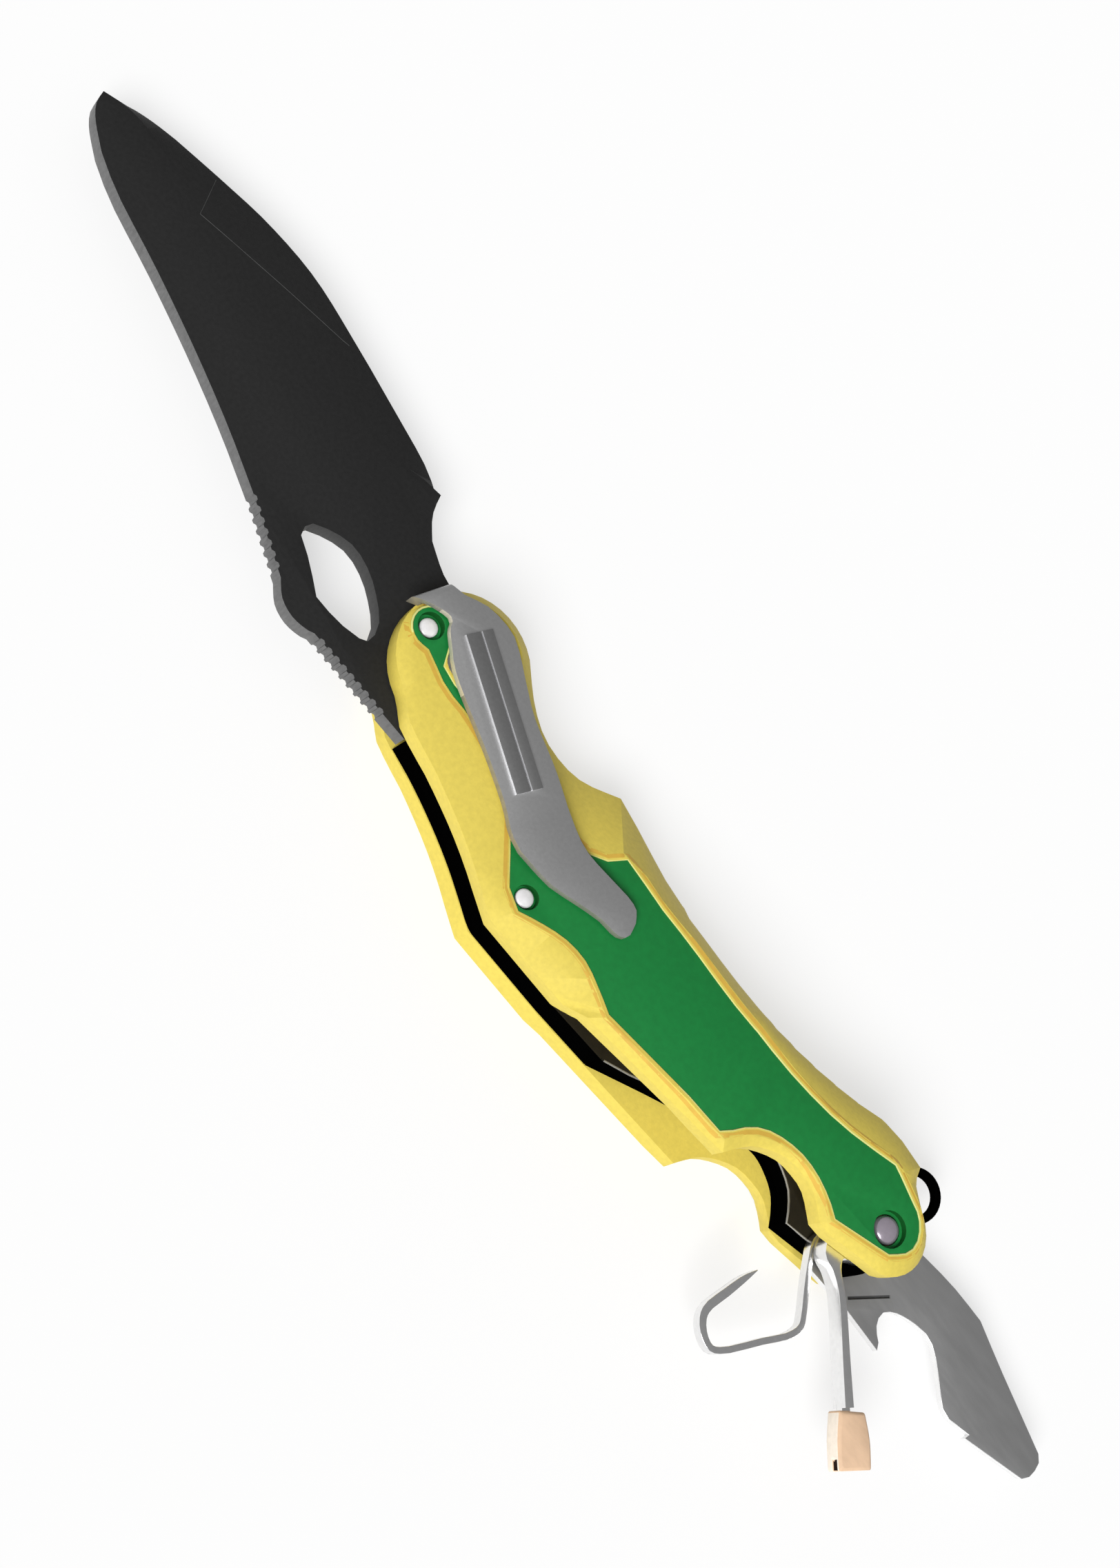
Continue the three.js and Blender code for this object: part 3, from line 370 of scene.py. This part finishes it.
def fine(node, look):
    """A copy of a frame node with rounded edges, which stands for it."""
    source = frame["nodes"][node]
    mesh = source.data.copy()
    mesh.materials.clear()
    join_back(mesh)
    piece = bpy.data.objects.new(node + "_fine", mesh)
    bpy.context.scene.collection.objects.link(piece)
    bevel = piece.modifiers.new("edges", "BEVEL")
    bevel.width = EDGE_RADIUS[node] * MM
    bevel.segments = BEVEL_SEGMENTS
    bevel.limit_method = "ANGLE"
    bevel.angle_limit = math.radians(BEVEL_FROM)
    bevel.use_clamp_overlap = True
    graph = bpy.context.evaluated_depsgraph_get()
    shaped = bpy.data.meshes.new_from_object(piece.evaluated_get(graph))
    piece.modifiers.clear()
    piece.data = shaped
    shaped.materials.clear()
    shaped.materials.append(look)
    shaped.shade_smooth()
    shaped.set_sharp_from_angle(angle=math.radians(SMOOTH_TO))
    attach(piece, source["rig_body"])
    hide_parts(node)
    return piece


def cap_height(piece, top):
    """Lowers a piece's topmost points, so that what lies on it stays in the frame's box."""
    for vertex in piece.data.vertices:
        vertex.co.z = min(vertex.co.z, top)


# ---- tests that pick the faces to paint --------------------------------------------------------

# Shares of a face's normal along an axis
LEVEL = 0.9  # upwards, the least of a face that lies flat
UPRIGHT = 0.5  # upwards, the most of a wall
SPINE_SIDE = 0.3  # along +Y, the least of a face turned to the spine side


def paint(piece, look, chosen):
    """Gives the faces that pass a test another material."""
    piece.data.materials.append(look)
    index = len(piece.data.materials) - 1
    for face in piece.data.polygons:
        if chosen(face):
            face.material_index = index


def wall(face):
    return abs(face.normal.z) < UPRIGHT


def level(face):
    return face.normal.z > LEVEL


def towards_spine(face, least=SPINE_SIDE):
    return face.normal.y > least


def inside(low, high):
    """A test for faces whose middle is in a box; None leaves a side open."""
    def chosen(face):
        for value, least, most in zip(face.center, low, high):
            if least is not None and value < least * MM:
                return False
            if most is not None and value > most * MM:
                return False
        return True
    return chosen


def beside(start, end, reach, heights):
    """A test for faces within a reach of a straight line seen from above, between two heights."""
    start = Vector(start) * MM
    along = Vector(end) * MM - start
    def chosen(face):
        flat = Vector(face.center[:2]) - start
        share = min(1, max(0, flat.dot(along) / along.length_squared))
        near = (flat - along * share).length < reach * MM
        return near and heights[0] * MM < face.center.z < heights[1] * MM
    return chosen


# ---- lines and bands that lie on the parts -----------------------------------------------------

TOP_RISE = 0.8  # upwards share of the normal: the least of a top face
SIDE_RISE = 0.3  # and the most of a side face

BEAD_RADIUS = 0.15
BEAD_OUT = 0.17
BEAD_DOWN = 0.04

STRIP_NEAR = 0.42  # the band's two sides, out from the inlay's outline
STRIP_FAR = 0.95
STRIP_RISE = 0.012
STRIP_STEP = 0.6
STRIP_GAP = 1.6  # the band breaks where its next points lie farther off
STRIP_DROP = 1.2  # and where the scale lies lower than this under the inlay's top
STRIP_TILT = 0.4  # and where the normal of the scale rises less than this

# The line where the finer edge of the blade was ground, as x, y
GRIND_LINE = [(111.2, -13.1), (108.5, -7.7), (100.1, -10), (86.3, -13.9), (84.6, -14.5)]
GRIND_RADIUS = 0.05
GRIND_STEP = 0.6

# The upper edge of the spacer in the tool bay, along which a painted highlight runs, as x, y
SPACER_LINE = [(-3.6, 18.05), (-7, 16.45), (-11.2, 14.05), (-14.6, 12.3), (-18, 10.65), (-21.3, 8.9),
               (-24.5, 7.4), (-25.5, 7.05), (-26.6, 6.9), (-27.8, 7), (-29, 7.3), (-30.3, 7.75),
               (-31.5, 8.35), (-32.5, 9.2), (-33.4, 10.15), (-34.3, 11.35), (-37, 10.65), (-39.4, 9.95)]
SPACER_LINE_HEIGHT = 7.96
SPACER_LINE_RADIUS = 0.15


def thread(name, points, radius, look, body, closed=False):
    """A fine round line of material along points."""
    curve = bpy.data.curves.new(name, "CURVE")
    curve.dimensions = "3D"
    curve.bevel_depth = radius * MM
    curve.bevel_resolution = 3
    curve.use_fill_caps = True
    spline = curve.splines.new("POLY")
    spline.points.add(len(points) - 1)
    for knot, place in zip(spline.points, points):
        knot.co = (*place, 1)
    spline.use_cyclic_u = closed
    curve.materials.append(look)
    piece = bpy.data.objects.new(name, curve)
    bpy.context.scene.collection.objects.link(piece)
    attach(piece, body)


def outer_rim(node):
    """The outline of a node's top, in order, each point with its outward direction."""
    form = bmesh.new()
    form.from_mesh(frame["nodes"][node].data)
    bmesh.ops.remove_doubles(form, verts=form.verts, dist=WELD * MM)
    form.verts.index_update()
    form.normal_update()
    follow = {}
    for edge in form.edges:
        tops = [face for face in edge.link_faces if face.normal.z > TOP_RISE]
        sides = [face for face in edge.link_faces if abs(face.normal.z) < SIDE_RISE]
        if tops and sides:
            corner = next(loop for loop in edge.link_loops if loop.face is tops[0])
            follow[corner.vert.index] = (corner.link_loop_next.vert.index, sides[0].normal.copy())
    form.verts.ensure_lookup_table()
    rims = []
    while follow:
        here = next(iter(follow))
        rim = []
        while here in follow:
            ahead, out = follow.pop(here)
            rim.append((form.verts[here].co.copy(), out))
            here = ahead
        rims.append(rim)
    form.free()
    return max(rims, key=len)


def rim_bead(node, look, body):
    """The raised bead where the scale's rim meets the inlay, coloured paler than the scale as a painted
    highlight.
    """
    rim = outer_rim(node)
    points = []
    for (place, out), (_, before) in zip(rim, rim[-1:] + rim[:-1]):
        way = (out + before).normalized()
        points.append(place + way * BEAD_OUT * MM - Vector((0, 0, BEAD_DOWN * MM)))
    thread("rim_bead", points, BEAD_RADIUS, look, body, closed=True)


def small_steps(rim):
    """The same outline in small steps, with its outward direction turning evenly."""
    steps = []
    for (here, out), (ahead, _), (_, before) in zip(rim, rim[1:] + rim[:1], rim[-1:] + rim[:-1]):
        way = (out + before).normalized()
        count = max(1, round((ahead - here).length / (STRIP_STEP * MM)))
        for k in range(count):
            blend = way.lerp(out, k / count).normalized() if k else way
            steps.append((here.lerp(ahead, k / count), blend))
    return steps


def row_across(form, place, way, scale):
    """Three points across the band on the scale's top, or none where the band breaks."""
    row = []
    for reach in (STRIP_NEAR, (STRIP_NEAR + STRIP_FAR) / 2, STRIP_FAR):
        spot = place + way * reach * MM
        hit, top, normal, _ = scale.ray_cast(Vector((spot.x, spot.y, ABOVE * MM)), DOWN)
        if not hit or normal.z < STRIP_TILT or place.z - top.z > STRIP_DROP * MM:
            return []
        row.append(form.verts.new(top + normal * STRIP_RISE * MM))
    return row


def join_rows(form, last, row):
    """The two faces between neighbouring rows, where both are there and near."""
    if not last or not row:
        return
    for a, b in ((0, 1), (1, 2)):
        if (row[b].co - last[b].co).length < STRIP_GAP * MM:
            form.faces.new((last[a], last[b], row[b], row[a]))


def rim_shade_strip(node, look, body, scale):
    """A band of painted shade, darker than the scale, that runs round beside the bead and is laid over
    the scale's top.
    """
    form = bmesh.new()
    rows = [row_across(form, place, way, scale) for place, way in small_steps(outer_rim(node))]
    for last, row in zip(rows, rows[1:] + rows[:1]):
        join_rows(form, last, row)
    bmesh.ops.recalc_face_normals(form, faces=form.faces)
    mesh = bpy.data.meshes.new("rim_shade_strip")
    form.to_mesh(mesh)
    form.free()
    if sum(face.normal.z for face in mesh.polygons) < 0:
        mesh.flip_normals()
    mesh.materials.append(look)
    mesh.shade_smooth()
    piece = bpy.data.objects.new("rim_shade_strip", mesh)
    bpy.context.scene.collection.objects.link(piece)
    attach(piece, body)


def grind_highlight_line(blade, look):
    """A fine line laid over the blade's side, lighter than the coating: partly its own relief, partly a
    painted highlight on the grind's edge.
    """
    points = []
    for (x0, y0), (x1, y1) in zip(GRIND_LINE, GRIND_LINE[1:]):
        steps = max(2, int(math.dist((x0, y0), (x1, y1)) / GRIND_STEP))
        for k in range(steps):
            x = x0 + (x1 - x0) * k / steps
            y = y0 + (y1 - y0) * k / steps
            hit, place, _, _ = blade.ray_cast(Vector((x, y, ABOVE)) * MM, DOWN)
            if hit:
                points.append(place.copy())
    thread("grind_highlight_line", points, GRIND_RADIUS, look, "blade")


# ---- the dressed parts -------------------------------------------------------------------------

# Boxes round painted places, as lowest and highest corner; a SIDE is the least share of a face's
# normal along +Y there
THUMB_HOLE = ((54, 2.6, None), (70.4, 11.6, None))
CLIP_RIBS = ((27, None, 13.22), (49, 10.5, 13.7))
CLIP_NECK = ((42, 0, None), (52, None, 13.22))
NECK_SIDE = 0.2
TOOL_BAY = ((-39.5, None, 7.8), (-3.6, None, None))
KERF = ((None, None, 11.55), (-58.5, None, 12.5))
KERF_MIDDLE = 12.02
KERF_END = -60.2
HEAD_SIDE = 0.45

NICK_START = (-47.8, 9.1)
NICK_END = (-51.6, 4.2)
NICK_REACH = 0.3
NICK_HEIGHTS = (4.4, 4.845)


def dress_inlays(made, looks):
    for node in ("inlay_near", "inlay_far"):
        # The inlay's edges get the darker green of painted shade
        paint(made[node], looks["inlay_edge_shade"], lambda face: abs(face.normal.z) < LEVEL)


def dress_blade(blade, looks):
    """Walls lighter than the coated sides, a painted sheen, with darker ones of painted shade in the
    thumb hole.
    """
    hole = inside(*THUMB_HOLE)
    paint(blade, looks["blade_wall_sheen"], wall)
    paint(blade, looks["hole_wall_shade"], lambda face: wall(face) and hole(face))
    grind_highlight_line(blade, looks["grind_highlight_line"])


def dress_clip(clip, looks):
    """Dull beige-grey walls on the spine side and a pale neck beside the top screw, both painted light;
    darker ribs; and bright rib walls, a painted highlight.
    """
    raised = inside(*CLIP_RIBS)
    neck = inside(*CLIP_NECK)
    paint(clip, looks["clip_wall_painted_light"], lambda face: wall(face) and towards_spine(face))
    paint(clip, looks["clip_neck_painted_light"],
          lambda face: neck(face) and not level(face) and towards_spine(face, NECK_SIDE))
    paint(clip, looks["clip_rib"], lambda face: raised(face) and level(face))
    paint(clip, looks["rib_wall_highlight"], lambda face: raised(face) and not level(face))


def dress_opener(opener, looks):
    # The opener's walls get a near-white painted reflection
    paint(opener, looks["steel_wall_reflection"], wall)
    # painted shade in the nail nick
    paint(opener, looks["nick"], beside(NICK_START, NICK_END, NICK_REACH, NICK_HEIGHTS))


def dress_spacer(spacer, looks):
    """A browner top in the tool bay, a painted reflection of the yellow scales, with a painted
    highlight along its edge.
    """
    bay = inside(*TOOL_BAY)
    paint(spacer, looks["spacer_top_reflection"], lambda face: bay(face) and level(face))
    points = [Vector((x, y, SPACER_LINE_HEIGHT)) * MM for x, y in SPACER_LINE]
    thread("spacer_edge_highlight", points, SPACER_LINE_RADIUS, looks["spacer_edge_highlight"], "handle")


def in_kerf(face):
    """The saw kerf's floor, roof and end wall, but not the skin of the head round it."""
    flat = abs(face.normal.z) > TOP_RISE
    towards = face.normal.z * (KERF_MIDDLE * MM - face.center.z) > 0
    inner = face.center.x > KERF_END * MM and face.normal.x < -0.5 and towards_spine(face)
    return (flat and towards) or inner


def dress_head(head, looks):
    """A paler side on the wooden head, a painted highlight, and a kerf darkened with painted shade."""
    near_kerf = inside(*KERF)
    paint(head, looks["wood_side_highlight"], lambda face: wall(face) and towards_spine(face, HEAD_SIDE))
    paint(head, looks["kerf"], lambda face: near_kerf(face) and in_kerf(face))


def dress():
    looks = make_materials()
    slots = {part["node"]: part["material_slot"] for part in frame["record"]["subparts"]}
    made = {}
    for node, slot in slots.items():
        if node in EDGE_RADIUS:
            made[node] = fine(node, looks[LOOKS.get(node, slot)])
        else:
            frame["nodes"][node].data.materials.clear()
            frame["nodes"][node].data.materials.append(looks[slot])
    cap_height(made["scale_near"], cad_box[1][2] - SCALE_ROOM * MM)
    rim_bead("inlay_near", looks["bead"], "handle")
    rim_shade_strip("inlay_near", looks["scale_shade_strip"], "handle", made["scale_near"])
    dress_inlays(made, looks)
    dress_blade(made["blade"], looks)
    dress_clip(made["pocket_clip"], looks)
    dress_opener(made["opener"], looks)
    dress_spacer(made["back_spacer"], looks)
    dress_head(made["rubber_head"], looks)


place_camera()
studio()
dress()
